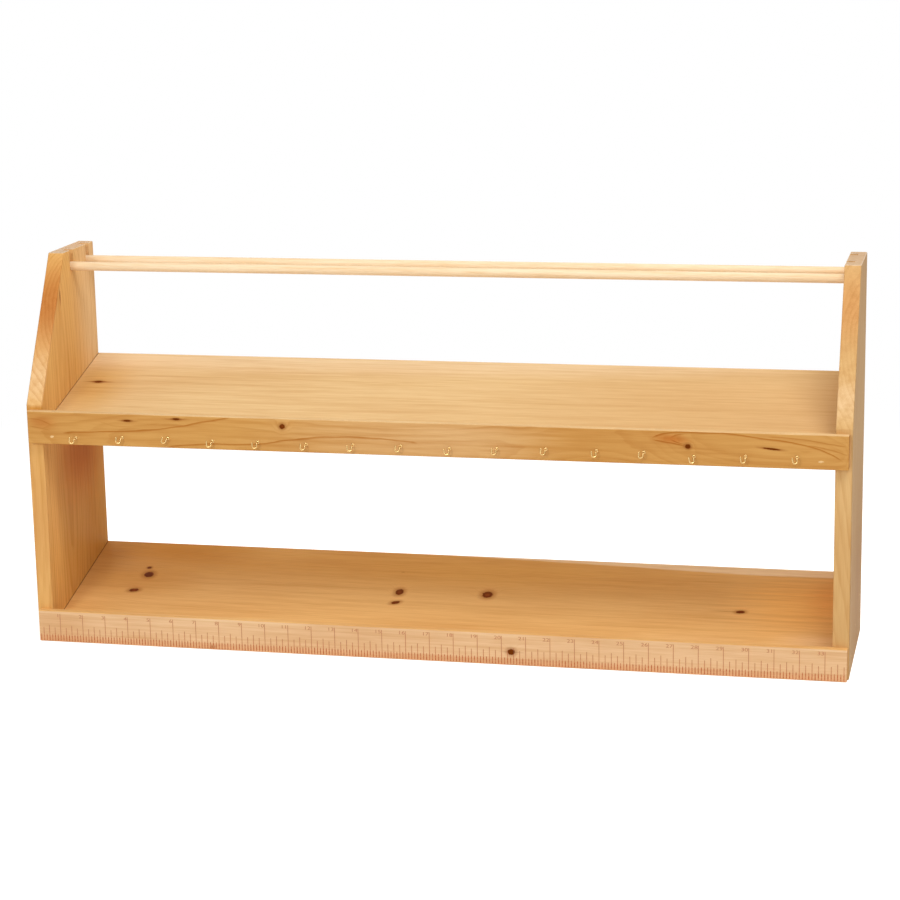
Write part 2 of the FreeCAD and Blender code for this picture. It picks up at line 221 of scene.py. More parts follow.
class WoodSettings(bpy.types.PropertyGroup):
    """Tones and finish of the pine boards; several tones also serve as painted light and shade."""
    left_side: colour_property("Left side panel", "Pale wood of the left side panel", "EBBB73")
    right_side: colour_property("Right side panel", "Pale wood of the right side panel", "E0B980")
    # Painted shade: the side panels' outer faces, darkened and greyed as if turned from the lamps
    outside: colour_property("Outer faces", "Duller wood of the side panels' outer faces", "C7A474")
    upper_shelf: colour_property("Upper shelf", "Pale wood of the upper shelf", "E7C591")
    lower_shelf: colour_property("Lower shelf", "Pale wood of the lower shelf", "ECBE7C")
    rail: colour_property("Hook rail", "Pale wood of the hook rail", "D4A15C")
    ruler: colour_property("Ruler", "Pale wood of the ruler strip", "EEC99E")
    # Also painted light: the lower shelf's lit back band and right front corner, and a painted highlight on
    # the ruler's top arris
    pale: colour_property("Sapwood", "The palest wood, at a board's margin", "FADDB4")
    # Painted light wherever it is used: the lower shelf's right end and the front of the left panel's inner
    # face
    bright: colour_property("Warm wood", "Brighter and warmer wood", "FFC97A")
    # Also painted shade over the right panel's lower part
    top: colour_property("Top ends", "Grey sawn tops of the side panels", "E8DCCB")
    # Also painted shade: along the back of the lower shelf, on the left panel's lower inner face and at the
    # upper shelf's left end
    amber: colour_property("Amber tint", "Tint of wood that has darkened to amber", "F0DFB7")
    # Also painted shade on the left panel's front edge, the upper shelf's right part and the right panel's
    # lower part
    late: colour_property("Latewood tint", "Tint of the darker edge of each ring", "DDC09A")
    # Also painted shade under the upper shelf, on the left panel
    deep: colour_property("Streak tint", "Tint of resin streaks and of the wood beside a knot", "B58152")
    rose: colour_property("Rosy wood", "Pinker wood on a sawn edge", "DBA676")
    # Also painted shade under the upper shelf on the left panel, and painted bounce light in the lower
    # shelf's back right corner
    red: colour_property("Reddish tint", "Tint of the redder patches of heartwood", "F2C7A2")
    # Also painted shade in the rod slots of both side panels
    dark: colour_property("Knots", "Rim and heart of the knots, and cracks", "6A3004")
    gloss: bpy.props.FloatProperty(
        name="Roughness", description="Roughness of the satin varnish", subtype="FACTOR", default=0.5,
        min=0, max=1)
    sheen: bpy.props.FloatProperty(
        name="Reflection", description="How much the thin varnish reflects", subtype="FACTOR", default=0.02,
        min=0, max=1)


class DowelSettings(bpy.types.PropertyGroup):
    """The two rods."""
    diameter: bpy.props.FloatProperty(
        name="Diameter", description="Diameter of a rod", unit="LENGTH", min=0.001,
        default=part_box("rod_front")[1].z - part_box("rod_front")[0].z)
    end_round: bpy.props.FloatProperty(
        name="End rounding", description="How far the sawn ends are eased", unit="LENGTH",
        default=0.6 * MM, min=0)


class HookSettings(bpy.types.PropertyGroup):
    """A small brass hook."""
    wire: bpy.props.FloatProperty(
        name="Wire", description="Diameter of the wire", unit="LENGTH", default=1.6 * MM, min=0.0005)
    flange: bpy.props.FloatProperty(
        name="Shoulder", description="Diameter of the shoulder on the board", unit="LENGTH",
        default=3.6 * MM, min=0.001)
    swing: bpy.props.FloatProperty(
        name="Swing", description="How far the bowl is swung to the left", unit="ROTATION",
        default=math.radians(60))
    brass: colour_property("Brass", "Colour of the plated brass", "EACD96")


class RulerSettings(bpy.types.PropertyGroup):
    """The print on the ruler strip."""
    ink: colour_property("Ink", "Colour of the stamped marks", "BC6434")
    tick_width: bpy.props.FloatProperty(
        name="Mark width", description="Width of a mark", unit="LENGTH", default=0.7 * MM, min=0.0001)
    number_height: bpy.props.FloatProperty(
        name="Number height", description="Height of the figures", unit="LENGTH", default=3.7 * MM,
        min=0.001)


class StageSettings(bpy.types.PropertyGroup):
    """Lamps, floor and camera."""
    key_power: bpy.props.FloatProperty(
        name="Key lamp", description="Power of the large lamp above the front right", unit="POWER",
        default=32.0, min=0)
    fill_power: bpy.props.FloatProperty(
        name="Fill lamp", description="Power of the small lamp at the front left", unit="POWER",
        default=18.0, min=0)
    back_power: bpy.props.FloatProperty(
        name="Back lamp", description="Power of the high lamp behind and to the right", unit="POWER",
        default=12.0, min=0)
    rear_power: bpy.props.FloatProperty(
        name="Rear lamp", description="Power of the low lamp behind and to the left", unit="POWER",
        default=15.0, min=0)
    ambient: bpy.props.FloatProperty(
        name="Ambient", description="Strength of the light from all round", default=0.47, min=0)
    lens: bpy.props.FloatProperty(
        name="Lens", description="Focal length of the camera", subtype="DISTANCE_CAMERA", default=99.3,
        min=1)


SETTINGS = {"wood": WoodSettings, "dowels": DowelSettings, "hooks": HookSettings, "ruler": RulerSettings,
            "stage": StageSettings}


# Materials

def add(tree, kind, inputs=(), **settings):
    """Adds one shader node, sets its properties, and sets or links its inputs by name or by number."""
    node = tree.nodes.new("ShaderNode" + kind)
    for key, value in settings.items():
        setattr(node, key, value)
    pairs = inputs.items() if isinstance(inputs, dict) else enumerate(inputs)
    for key, value in pairs:
        if isinstance(value, bpy.types.NodeSocket):
            tree.links.new(value, node.inputs[key])
        elif value is not None:
            node.inputs[key].default_value = value
    return node


def empty_tree(owner):
    """The node tree of a new material or world, with nothing in it."""
    owner.use_nodes = True
    owner.node_tree.nodes.clear()
    return owner.node_tree


def new_material(name):
    """Material with a Principled shader linked to its output."""
    material = bpy.data.materials.new(name)
    tree = empty_tree(material)
    shader = add(tree, "BsdfPrincipled")
    add(tree, "OutputMaterial", {"Surface": shader.outputs[0]})
    return material, tree, shader


def board_space(tree, node, turn):
    """Object coordinates in millimetres from a board's middle: along the grain, across and through."""
    low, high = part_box(node)
    place = add(tree, "TexCoord").outputs["Object"]
    return add(tree, "Mapping", (place, tuple((low + high) / 2), turn, (MM, MM, MM)),
               vector_type="TEXTURE").outputs[0]


def along_board(tree, along, points):
    """A distance that changes along a board, smoothly through the given pairs of place and distance."""
    places = [point[0] for point in points]
    values = [point[1] for point in points]
    low, high = min(values), max(max(values), min(values) + 1)
    share = add(tree, "MapRange", (along, places[0], places[-1])).outputs[0]
    curve = add(tree, "FloatCurve", {"Value": share})
    line = curve.mapping.curves[0]
    shares = [((place - places[0]) / (places[-1] - places[0]), (value - low) / (high - low))
              for place, value in points]
    line.points[0].location = shares[0]
    line.points[1].location = shares[-1]
    for place, value in shares[1:-1]:
        line.points.new(place, value)
    curve.mapping.update()
    return add(tree, "MapRange", (curve.outputs[0], 0.0, 1.0, low, high)).outputs[0]


def distance_from(tree, space, spot):
    """How far a point is from a spot, in units of the spot's half length and half width."""
    along, across, half_length, half_width, lean = spot
    local = add(tree, "Mapping", (space, (along, across, 0.0), (0.0, 0.0, math.radians(lean)),
                                  (half_length, half_width, 1e6)), vector_type="TEXTURE").outputs[0]
    return add(tree, "VectorMath", (local,), operation="LENGTH").outputs["Value"]


def streaks(tree, space, scale, detail, seed):
    """Noise drawn out along the grain. Its scale is its size along, across and through in millimetres."""
    stretched = add(tree, "Mapping", (space, (seed, seed, seed), (0.0, 0.0, 0.0), scale),
                    vector_type="TEXTURE").outputs[0]
    return add(tree, "TexNoise", {"Vector": stretched, "Scale": 1.0, "Detail": detail}).outputs[0]


def ring_edge(tree, parts, quick, points, width):
    """How strongly a point lies on one dark ring edge: a slow rise over its width and a sharp end."""
    line = along_board(tree, parts[0], points)
    off = add(tree, "Math", (parts[1], line), operation="SUBTRACT").outputs[0]
    off = add(tree, "Math", (quick, 2.4, off), operation="MULTIPLY_ADD").outputs[0]
    rise = add(tree, "MapRange", (off, 1.2 - width, 1.2), interpolation_type="SMOOTHSTEP").outputs[0]
    fall = add(tree, "MapRange", (off, 1.2, 1.9, 1.0, 0.0), interpolation_type="SMOOTHSTEP").outputs[0]
    start = add(tree, "MapRange", (parts[0], points[0][0], points[0][0] + 6.0)).outputs[0]
    end = add(tree, "MapRange", (parts[0], points[-1][0] - 6.0, points[-1][0], 1.0, 0.0)).outputs[0]
    amount = rise
    for factor in (fall, start, end):
        amount = add(tree, "Math", (amount, factor), operation="MULTIPLY").outputs[0]
    return amount


def pith_distance(tree, space, parts, board, quick, knots):
    """Distance from the pith, bent by slow and quick waves and pushed aside by the knots."""
    across = add(tree, "Math", (parts[1], along_board(tree, parts[0], board["pith_across"])),
                 operation="SUBTRACT").outputs[0]
    below = add(tree, "Math", (parts[2], along_board(tree, parts[0], board["pith_below"])),
                operation="ADD").outputs[0]
    flat = add(tree, "CombineXYZ", (across, below, 0.0)).outputs[0]
    radius = add(tree, "VectorMath", (flat,), operation="LENGTH").outputs["Value"]
    slow = streaks(tree, space, (170.0, 34.0, 34.0), 2.0, board["seed"] * 100)
    radius = add(tree, "Math", (slow, 9.0, radius), operation="MULTIPLY_ADD").outputs[0]
    radius = add(tree, "Math", (quick, 1.4, radius), operation="MULTIPLY_ADD").outputs[0]
    for away, half_width, _ in knots:
        push = add(tree, "MapRange", (away, 0.6, 4.6, half_width * 1.5, 0.0),
                   interpolation_type="SMOOTHERSTEP").outputs[0]
        radius = add(tree, "Math", (radius, push), operation="ADD").outputs[0]
    return radius


def latewood(tree, parts, board, quick, radius):
    """How dark the rings make a point: each darkens slowly and ends sharply, and no two are alike."""
    phase = add(tree, "Math", (radius, board["ring"]), operation="DIVIDE").outputs[0]
    share = add(tree, "Math", (phase,), operation="FRACT").outputs[0]
    number = add(tree, "Math", (phase,), operation="FLOOR").outputs[0]
    rise = add(tree, "MapRange", (share, 0.15, 0.86), interpolation_type="SMOOTHSTEP").outputs[0]
    fall = add(tree, "MapRange", (share, 0.9, 1.0, 1.0, 0.0), interpolation_type="SMOOTHSTEP").outputs[0]
    late = add(tree, "Math", (rise, fall), operation="MULTIPLY").outputs[0]
    late = add(tree, "Math", (late, 1.6), operation="POWER").outputs[0]
    chance = add(tree, "TexWhiteNoise", {"W": number}, noise_dimensions="1D").outputs[0]
    contrast = board["contrast"]
    chance = add(tree, "MapRange", (chance, 0.0, 1.0, contrast * 0.25, contrast)).outputs[0]
    late = add(tree, "Math", (late, chance), operation="MULTIPLY").outputs[0]
    for points, width, strength in board.get("lines", ()):
        edge = ring_edge(tree, parts, quick, points, width)
        edge = add(tree, "Math", (edge, strength), operation="MULTIPLY").outputs[0]
        late = add(tree, "Math", (late, edge), operation="MAXIMUM").outputs[0]
    return late


# A layer of a board's colour is its strength, its tone, and how it is laid on the layers below

def stain_layers(tree, space, ribbon, stains_and_painted_light):
    """Patches of another tone, with edges that run out along the grain: the wood's own marks, and painted
    light and shade.
    """
    layers = []
    for *spot, strength, tone in stains_and_painted_light:
        away = distance_from(tree, space, spot)
        away = add(tree, "Math", (ribbon, 0.5, away), operation="MULTIPLY_ADD").outputs[0]
        amount = add(tree, "MapRange", (away, 0.3, 1.25, strength, 0.0), interpolation_type="SMOOTHSTEP")
        layers.append((amount.outputs[0], tone, "MIX" if tone in MIXED_TONES else "MULTIPLY"))
    return layers


def skin_layers(tree, parts, size, skins):
    """Other tones on whole faces. A skin through a side panel faces along X, and every other along Z."""
    layers = []
    for axis, side, tone in skins:
        half = (size.x if axis == 2 else size.z) / 2
        depth = add(tree, "Math", (parts[axis], float(side)), operation="MULTIPLY").outputs[0]
        layers.append((add(tree, "MapRange", (depth, half - 0.8, half - 0.3)).outputs[0], tone, "MIX"))
    return layers


def sapwood_layer(tree, parts, quick, points, softness, strength):
    """A pale margin at the back of a board. On the lower shelf it is painted light from behind."""
    line = along_board(tree, parts[0], points)
    past = add(tree, "Math", (parts[1], line), operation="SUBTRACT").outputs[0]
    past = add(tree, "Math", (quick, 3.0, past), operation="MULTIPLY_ADD").outputs[0]
    margin = add(tree, "MapRange", (past, 1.5 - softness, 1.5 + softness, 0.0, strength),
                 interpolation_type="SMOOTHSTEP").outputs[0]
    return margin, "pale", "MIX"


def knot_layers(tree, space, seed, knots):
    """Each knot has a reddish halo, a dark rim and a heart that may be paler."""
    rough = streaks(tree, space, (1.6, 1.6, 1.6), 2.0, seed)
    layers = []
    for away, _, pale in knots:
        uneven = add(tree, "Math", (rough, 0.5, away), operation="MULTIPLY_ADD").outputs[0]
        halo, core = (add(tree, "MapRange", (uneven, *ends, 0.0), interpolation_type="SMOOTHSTEP").outputs[0]
                      for ends in ((1.1, 2.6, 0.55), (1.0, 1.4, 1.0)))
        heart = add(tree, "MapRange", (uneven, 0.55, 0.95, 1.0 - pale, 1.0)).outputs[0]
        heart = add(tree, "Math", (core, heart), operation="MULTIPLY").outputs[0]
        layers += [(halo, "deep", "MULTIPLY"), (core, "deep", "MULTIPLY"), (heart, "dark", "MIX")]
    return layers


def end_layers(tree, parts, turn, length):
    """End grain drinks the varnish and is darker, and a shelf's ends are dark at the side panels."""
    normal = add(tree, "TexCoord").outputs["Normal"]
    along = add(tree, "VectorRotate", {"Vector": normal, "Rotation": turn}, rotation_type="EULER_XYZ",
                invert=True).outputs[0]
    facing = add(tree, "SeparateXYZ", (along,)).outputs[0]
    facing = add(tree, "Math", (facing,), operation="ABSOLUTE").outputs[0]
    layers = [(add(tree, "MapRange", (facing, 0.75, 1.0, 0.0, 0.75)).outputs[0], "late", "MULTIPLY")]
    if turn is TILTED:
        half = length / 2
        to_end = add(tree, "Math", (parts[0],), operation="ABSOLUTE").outputs[0]
        joint = add(tree, "MapRange", (to_end, half - 1.3, half - 0.4, 0.0, 0.8)).outputs[0]
        layers.append((joint, "dark", "MIX"))
    return layers


def pine(node, board, wood):
    """Pine, sawn, sanded and varnished satin: soft orange rings, fine fibres, dark knots, a dull sheen,
    and patches of painted light and shade.
    """
    material, tree, shader = new_material("pine_" + node)
    space = board_space(tree, node, board["turn"])
    parts = add(tree, "SeparateXYZ", (space,)).outputs
    low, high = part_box(node)
    size = (high - low) / MM
    seed = board["seed"]
    fibre = streaks(tree, space, (28.0, 0.8, 0.8), 3.0, seed * 30)
    ribbon = streaks(tree, space, (110.0, 4.0, 8.0), 3.0, seed * 50)
    quick = streaks(tree, space, (26.0, 5.0, 5.0), 2.0, seed * 70)
    cloud = streaks(tree, space, (240.0, 60.0, 60.0), 2.0, seed * 90)
    knots = [(distance_from(tree, space, spot), spot[3], pale) for *spot, pale in board.get("knots", ())]
    radius = pith_distance(tree, space, parts, board, quick, knots)
    late = latewood(tree, parts, board, quick, radius)

    layers = stain_layers(tree, space, ribbon, board.get("stains_and_painted_light", ()))
    layers += skin_layers(tree, parts, size, board.get("skins", ()))
    layers += stain_layers(tree, space, ribbon, board.get("painted_shade", ()))
    if "pale_back_margin" in board:
        layers.append(sapwood_layer(tree, parts, quick, *board["pale_back_margin"]))
    layers.append((late, "late", "MULTIPLY"))
    for noise, none, full, strength in ((ribbon, 0.42, 0.8, 0.45), (cloud, 0.4, 0.75, 0.24),
                                        (fibre, 0.35, 0.8, 0.32)):
        amount = add(tree, "MapRange", (noise, none, full, 0.0, strength)).outputs[0]
        layers.append((amount, "late", "MULTIPLY"))
    layers += knot_layers(tree, space, seed, knots)
    layers += end_layers(tree, parts, board["turn"], size.x)
    colour = tuple(getattr(wood, board["tone"]))
    for amount, tone, blend in layers:
        over = tuple(getattr(wood, tone))
        colour = add(tree, "MixRGB", (amount, colour, over), blend_type=blend).outputs[0]

    height = add(tree, "Math", (fibre, 0.5, late), operation="MULTIPLY_ADD").outputs[0]
    bump = add(tree, "Bump", {"Height": height, "Strength": 0.35, "Distance": 0.06 * MM}).outputs[0]
    tree.links.new(colour, shader.inputs["Base Color"])
    tree.links.new(bump, shader.inputs["Normal"])
    shader.inputs["Roughness"].default_value = wood.gloss
    shader.inputs["Specular IOR Level"].default_value = wood.sheen
    shader.inputs["IOR"].default_value = 1.5
    return material


def speckle(tree, size, detail):
    """Noise on Object coordinates, with its size in millimetres."""
    place = add(tree, "TexCoord").outputs["Object"]
    return add(tree, "TexNoise", {"Vector": place, "Scale": 1 / (size * MM), "Detail": detail}).outputs[0]


def birch():
    """Birch dowel, turned and left plain: nearly white wood with short faint fibres and a dry surface."""
    material, tree, shader = new_material("birch_dowel")
    place = add(tree, "TexCoord").outputs["Object"]
    space = add(tree, "VectorMath", (place, (1 / MM,) * 3), operation="MULTIPLY").outputs[0]
    fibre = streaks(tree, space, (22.0, 0.7, 0.7), 3.0, 4.0)
    slow = streaks(tree, space, (160.0, 4.0, 4.0), 2.0, 9.0)
    amount = add(tree, "Math", (fibre, slow), operation="MULTIPLY").outputs[0]
    amount = add(tree, "MapRange", (amount, 0.12, 0.5)).outputs[0]
    colour = add(tree, "MixRGB", (amount, linear("FAE4C2"), linear("E4BC88"))).outputs[0]
    bump = add(tree, "Bump", {"Height": fibre, "Strength": 0.3, "Distance": 0.05 * MM}).outputs[0]
    tree.links.new(colour, shader.inputs["Base Color"])
    tree.links.new(bump, shader.inputs["Normal"])
    shader.inputs["Roughness"].default_value = 0.6
    shader.inputs["Specular IOR Level"].default_value = 0.25
    return material


def brass(colour):
    """Brass-plated steel wire: bright yellow metal, a little dulled where it has been handled."""
    material, tree, shader = new_material("brass_plate")
    dull = speckle(tree, 1.1, 3.0)
    tone = add(tree, "MixRGB", (dull, tuple(colour), linear("B8904A"))).outputs[0]
    rough = add(tree, "MapRange", (dull, 0.3, 0.8, 0.16, 0.36)).outputs[0]
    tree.links.new(tone, shader.inputs["Base Color"])
    tree.links.new(rough, shader.inputs["Roughness"])
    shader.inputs["Metallic"].default_value = 1.0
    return material


def steel():
    """Bright finishing nail: drawn steel wire."""
    material, tree, shader = new_material("nail_steel")
    grain = speckle(tree, 0.4, 2.0)
    tone = add(tree, "MixRGB", (grain, linear("B9BBBD"), linear("8E9093"))).outputs[0]
    tree.links.new(tone, shader.inputs["Base Color"])
    shader.inputs["Metallic"].default_value = 1.0
    shader.inputs["Roughness"].default_value = 0.38
    return material


def filler():
    """Wood filler: pale dried paste, matt and slightly grainy."""
    material, tree, shader = new_material("wood_filler")
    grain = speckle(tree, 0.55, 3.0)
    tone = add(tree, "MixRGB", (grain, linear("EEC88E"), linear("E0B67A"))).outputs[0]
    bump = add(tree, "Bump", {"Height": grain, "Strength": 0.4, "Distance": 0.08 * MM}).outputs[0]
    tree.links.new(tone, shader.inputs["Base Color"])
    tree.links.new(bump, shader.inputs["Normal"])
    shader.inputs["Roughness"].default_value = 0.8
    return material


def ink(colour):
    """Stamped ink that has sunk into bare wood: reddish brown, patchy and matt, worn faint in the upper
    half, and as dark as the knot where it crosses it."""
    material, tree, shader = new_material("stamped_ink")
    place = add(tree, "TexCoord").outputs["Object"]
    amount = add(tree, "MapRange", (speckle(tree, 2.4, 4.0), 0.4, 0.7, 0.0, 0.6)).outputs[0]
    tone = add(tree, "MixRGB", (amount, tuple(colour), linear("E0A878"))).outputs[0]
    low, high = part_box("ruler_strip")
    height = add(tree, "SeparateXYZ", (place,)).outputs[2]
    tall = high.z - low.z
    worn = add(tree, "MapRange", (height, low.z + 0.2 * tall, low.z + 0.5 * tall, 0.0, 0.6)).outputs[0]
    tone = add(tree, "MixRGB", (worn, tone, linear("B9805A"))).outputs[0]
    *knot, _ = BOARDS["ruler_strip"]["knots"][0]
    away = distance_from(tree, board_space(tree, "ruler_strip", ON_EDGE), knot)
    on_knot = add(tree, "MapRange", (away, 0.8, 1.2, 1.0, 0.0)).outputs[0]
    tone = add(tree, "MixRGB", (on_knot, tone, linear("6A3004"))).outputs[0]
    tree.links.new(tone, shader.inputs["Base Color"])
    shader.inputs["Roughness"].default_value = 0.75
    return material


# Meshes

def new_piece(name, points, faces, material, body, smooth=True):
    """A finished piece at the origin from arrays of points in metres and of faces, riding on a body."""
    mesh = bpy.data.meshes.new(name)
    mesh.from_pydata(np.asarray(points).tolist(), [], [list(face) for face in faces])
    mesh.validate()
    if smooth:
        mesh.shade_smooth()
    mesh.materials.append(material)
    piece = bpy.data.objects.new(name, mesh)
    bpy.context.scene.collection.objects.link(piece)
    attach(piece, body)
    return piece


def closed_rows(rows, first, last):
    """Closed surface through rows of points, each a loop, with a point closing either end."""
    count, around = rows.shape[:2]
    points = np.concatenate([rows.reshape(-1, 3), [first], [last]])
    row = np.arange(count - 1)[:, None] * around
    column = np.arange(around)[None, :]
    beside = (column + 1) % around
    walls = np.stack([row + column, row + beside, row + around + beside, row + around + column], -1)
    end_row = (count - 1) * around
    start = np.stack([np.full(around, count * around), beside[0], column[0]], -1)
    end = np.stack([np.full(around, count * around + 1), end_row + column[0], end_row + beside[0]], -1)
    return points, walls.reshape(-1, 4).tolist() + start.tolist() + end.tolist()


def carried_round(centres, sides, radii, around, grooves=0.0):
    """Closed surface of a round profile carried along a path: point = centre + radius * (cos a * side +
    sin a * up), where up stands square to the side and to the path. Side is one direction, or one for each
    point of the path. The radius changes along it, less the grooves' depth for each row and angle."""
    centres = np.asarray(centres, float)
    sides = np.broadcast_to(np.asarray(sides, float), centres.shape)
    tangents = np.gradient(centres, axis=0)
    tangents /= np.linalg.norm(tangents, axis=1)[:, None]
    up = np.cross(sides, tangents)
    up /= np.linalg.norm(up, axis=1)[:, None]
    angles = np.linspace(0, 2 * np.pi, around, endpoint=False)
    radius = np.asarray(radii)[:, None] * np.ones(around) - np.asarray(grooves)
    rows = (centres[:, None, :] + radius[..., None] * (np.cos(angles)[None, :, None] * sides[:, None, :]
            + np.sin(angles)[None, :, None] * up[:, None, :]))
    return closed_rows(rows, centres[0], centres[-1])


def filler_smear(middle, half_length, half_height, bulge, seed):
    """A thin lens that faces along Y: a round grid whose outline wanders, thickest in the middle."""
    rings, around = 9, 36
    polar = np.linspace(0, np.pi, rings)[1:-1, None]
    angle = np.linspace(0, 2 * np.pi, around, endpoint=False)[None, :]
    outline = 1 + 0.22 * np.sin(2 * angle + seed) + 0.12 * np.sin(5 * angle + 2 * seed)
    x = middle[0] + half_length * np.sin(polar) * np.cos(angle) * outline
    y = middle[1] - bulge * np.cos(polar) * np.ones_like(angle)
    z = middle[2] + half_height * np.sin(polar) * np.sin(angle) * outline
    pole = np.array([0.0, bulge, 0.0])
    return closed_rows(np.stack([x, y, z], -1), middle - pole, middle + pole)


def outwards(piece):
    """Turns a closed piece's faces outwards."""
    shape = bmesh.new()
    shape.from_mesh(piece.data)
    bmesh.ops.recalc_face_normals(shape, faces=shape.faces)
    shape.to_mesh(piece.data)
    shape.free()


def boxes(lows, highs):
    """Closed boxes between pairs of corners, as one pair of arrays."""
    corner = np.array([[x, y, z] for x in (0, 1) for y in (0, 1) for z in (0, 1)])
    points = lows[:, None, :] + corner[None] * (highs - lows)[:, None, :]
    faces = np.array([[0, 1, 3, 2], [4, 6, 7, 5], [0, 4, 5, 1], [2, 3, 7, 6], [0, 2, 6, 4], [1, 5, 7, 3]])
    shift = (np.arange(len(points)) * len(corner))[:, None, None]
    return points.reshape(-1, 3), (faces[None] + shift).reshape(-1, 4)


def ruler_marks(low, high, zero, width):
    """A box for each mark, and a wider, lower one at its foot, where the ink has spread."""
    number = np.arange(1, int((high.x - zero) / INCH * EIGHTHS) + 1)
    across = zero + number * INCH / EIGHTHS
    keep = (across > low.x + MARK_MARGIN) & (across < high.x - MARK_MARGIN)
    number, across = number[keep], across[keep]
    kinds = [number % 8 == 0, number % 4 == 0, number % 2 == 0]
    share = np.select(kinds, MARK_HEIGHTS[:3], MARK_HEIGHTS[3])
    height = high.z - low.z
    half = np.array([width / 2, 1.7 * width / 2])[:, None]
    front = np.array([low.y - INK_PROUD, low.y - 0.6 * INK_PROUD])[:, None]
    top = np.stack([low.z + share * height, low.z + np.minimum(share, 0.21) * height])
    ones = np.ones_like(top)
    lows = np.stack([across - half, front * ones, (low.z + MARK_FOOT) * ones], -1)
    highs = np.stack([across + half, (low.y + INK_SUNK) * ones, top], -1)
    return boxes(lows.reshape(-1, 3), highs.reshape(-1, 3))


def ruler_figures(context, low, high, zero, figure_height):
    """Wide figures, each just left of its inch mark and level with the mark's top."""
    wide = Matrix.Diagonal((1.4, 1.0, 1.0, 1.0))
    base = low.z + MARK_HEIGHTS[0] * (high.z - low.z) - figure_height
    points, faces = [], []
    for figure in range(1, LAST_INCH + 1):
        curve = bpy.data.curves.new("figure", "FONT")
        curve.body = str(figure)
        curve.size = figure_height / 0.7
        curve.extrude = (INK_PROUD + INK_SUNK) / 2
        curve.align_x = "RIGHT"
        text = bpy.data.objects.new("figure", curve)
        bpy.context.scene.collection.objects.link(text)
        mesh = bpy.data.meshes.new_from_object(text.evaluated_get(context.evaluated_depsgraph_get()))
        bpy.data.objects.remove(text)
        place = Matrix.Translation((zero + figure * INCH - 0.5 * MM, low.y, base))
        mesh.transform(place @ Matrix.Rotation(math.pi / 2, 4, "X") @ wide)
        first = len(points)
        points += [tuple(vertex.co) for vertex in mesh.vertices]
        faces += [[first + corner for corner in polygon.vertices] for polygon in mesh.polygons]
        bpy.data.meshes.remove(mesh)
    return points, faces


# Operators

class ORGANIZER_OT_boards(bpy.types.Operator):
    """Gives each board its own cut of varnished pine"""
    bl_idname = "organizer.boards"
    bl_label = "Boards"

    def execute(self, context):
        for name, board in BOARDS.items():
            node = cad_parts[name]
            node.data.materials.clear()
            node.data.materials.append(pine(name, board, context.scene.organizer_wood))
        return {"FINISHED"}


class ORGANIZER_OT_dowels(bpy.types.Operator):
    """Makes the two birch rods with eased ends"""
    bl_idname = "organizer.dowels"
    bl_label = "Dowels"

    def execute(self, context):
        settings = context.scene.organizer_dowels
        material = birch()
        for node, body in (("rod_front", "front_rod"), ("rod_rear", "rear_rod")):
            low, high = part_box(node)
            middle = (low + high) / 2
            ease = np.linspace(0, np.pi / 2, 5)
            radius = settings.diameter / 2
            ends = settings.end_round
            start = low.x + ends * (1 - np.cos(ease))
            rise = radius - ends * (1 - np.sin(ease))
            run = np.linspace(low.x + 4 * ends, high.x - 4 * ends, 60)
            along = np.concatenate([start, run, (low.x + high.x - start)[::-1]])
            radii = np.concatenate([rise, np.full(len(run), radius), rise[::-1]])
            centres = np.stack([along, np.full(len(along), middle.y), np.full(len(along), middle.z)], -1)
            points, faces = carried_round(centres, (0, 1, 0), radii, 40)
            piece = new_piece(node.replace("rod", "dowel"), points, faces, material, body)
            outwards(piece)
            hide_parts(node)
        return {"FINISHED"}


class ORGANIZER_OT_hooks(bpy.types.Operator):
    """Makes the row of small brass hooks, each where its CAD hook sits and turned as it is"""
    bl_idname = "organizer.hooks"
    bl_label = "Brass hooks"

    def execute(self, context):
        settings = context.scene.organizer_hooks
        material = brass(settings.brass)
        points, faces = shoulder_hook(settings)
        face_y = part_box("hook_rail")[0].y
        places, angles = {}, {}
        hooks = sorted(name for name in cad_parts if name.startswith("hook_") and name[-1].isdigit())
        for node in hooks:
            corners = np.array([vertex.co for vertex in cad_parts[node].data.vertices])
            places[node] = corners[corners[:, 1].argmax()]
            middle = corners.mean(0) - places[node]
            angles[node] = math.atan2(middle[0], middle[2])
        for node, place in places.items():
            spin = np.array(Matrix.Rotation(angles[node] - angles[STRAIGHT_HOOK], 3, "Y"))
            moved = points @ spin.T + np.array([place[0], face_y, place[2]])
            piece = new_piece("brass_" + node, moved, faces, material, CARCASS)
            outwards(piece)
            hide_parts(node)
        return {"FINISHED"}


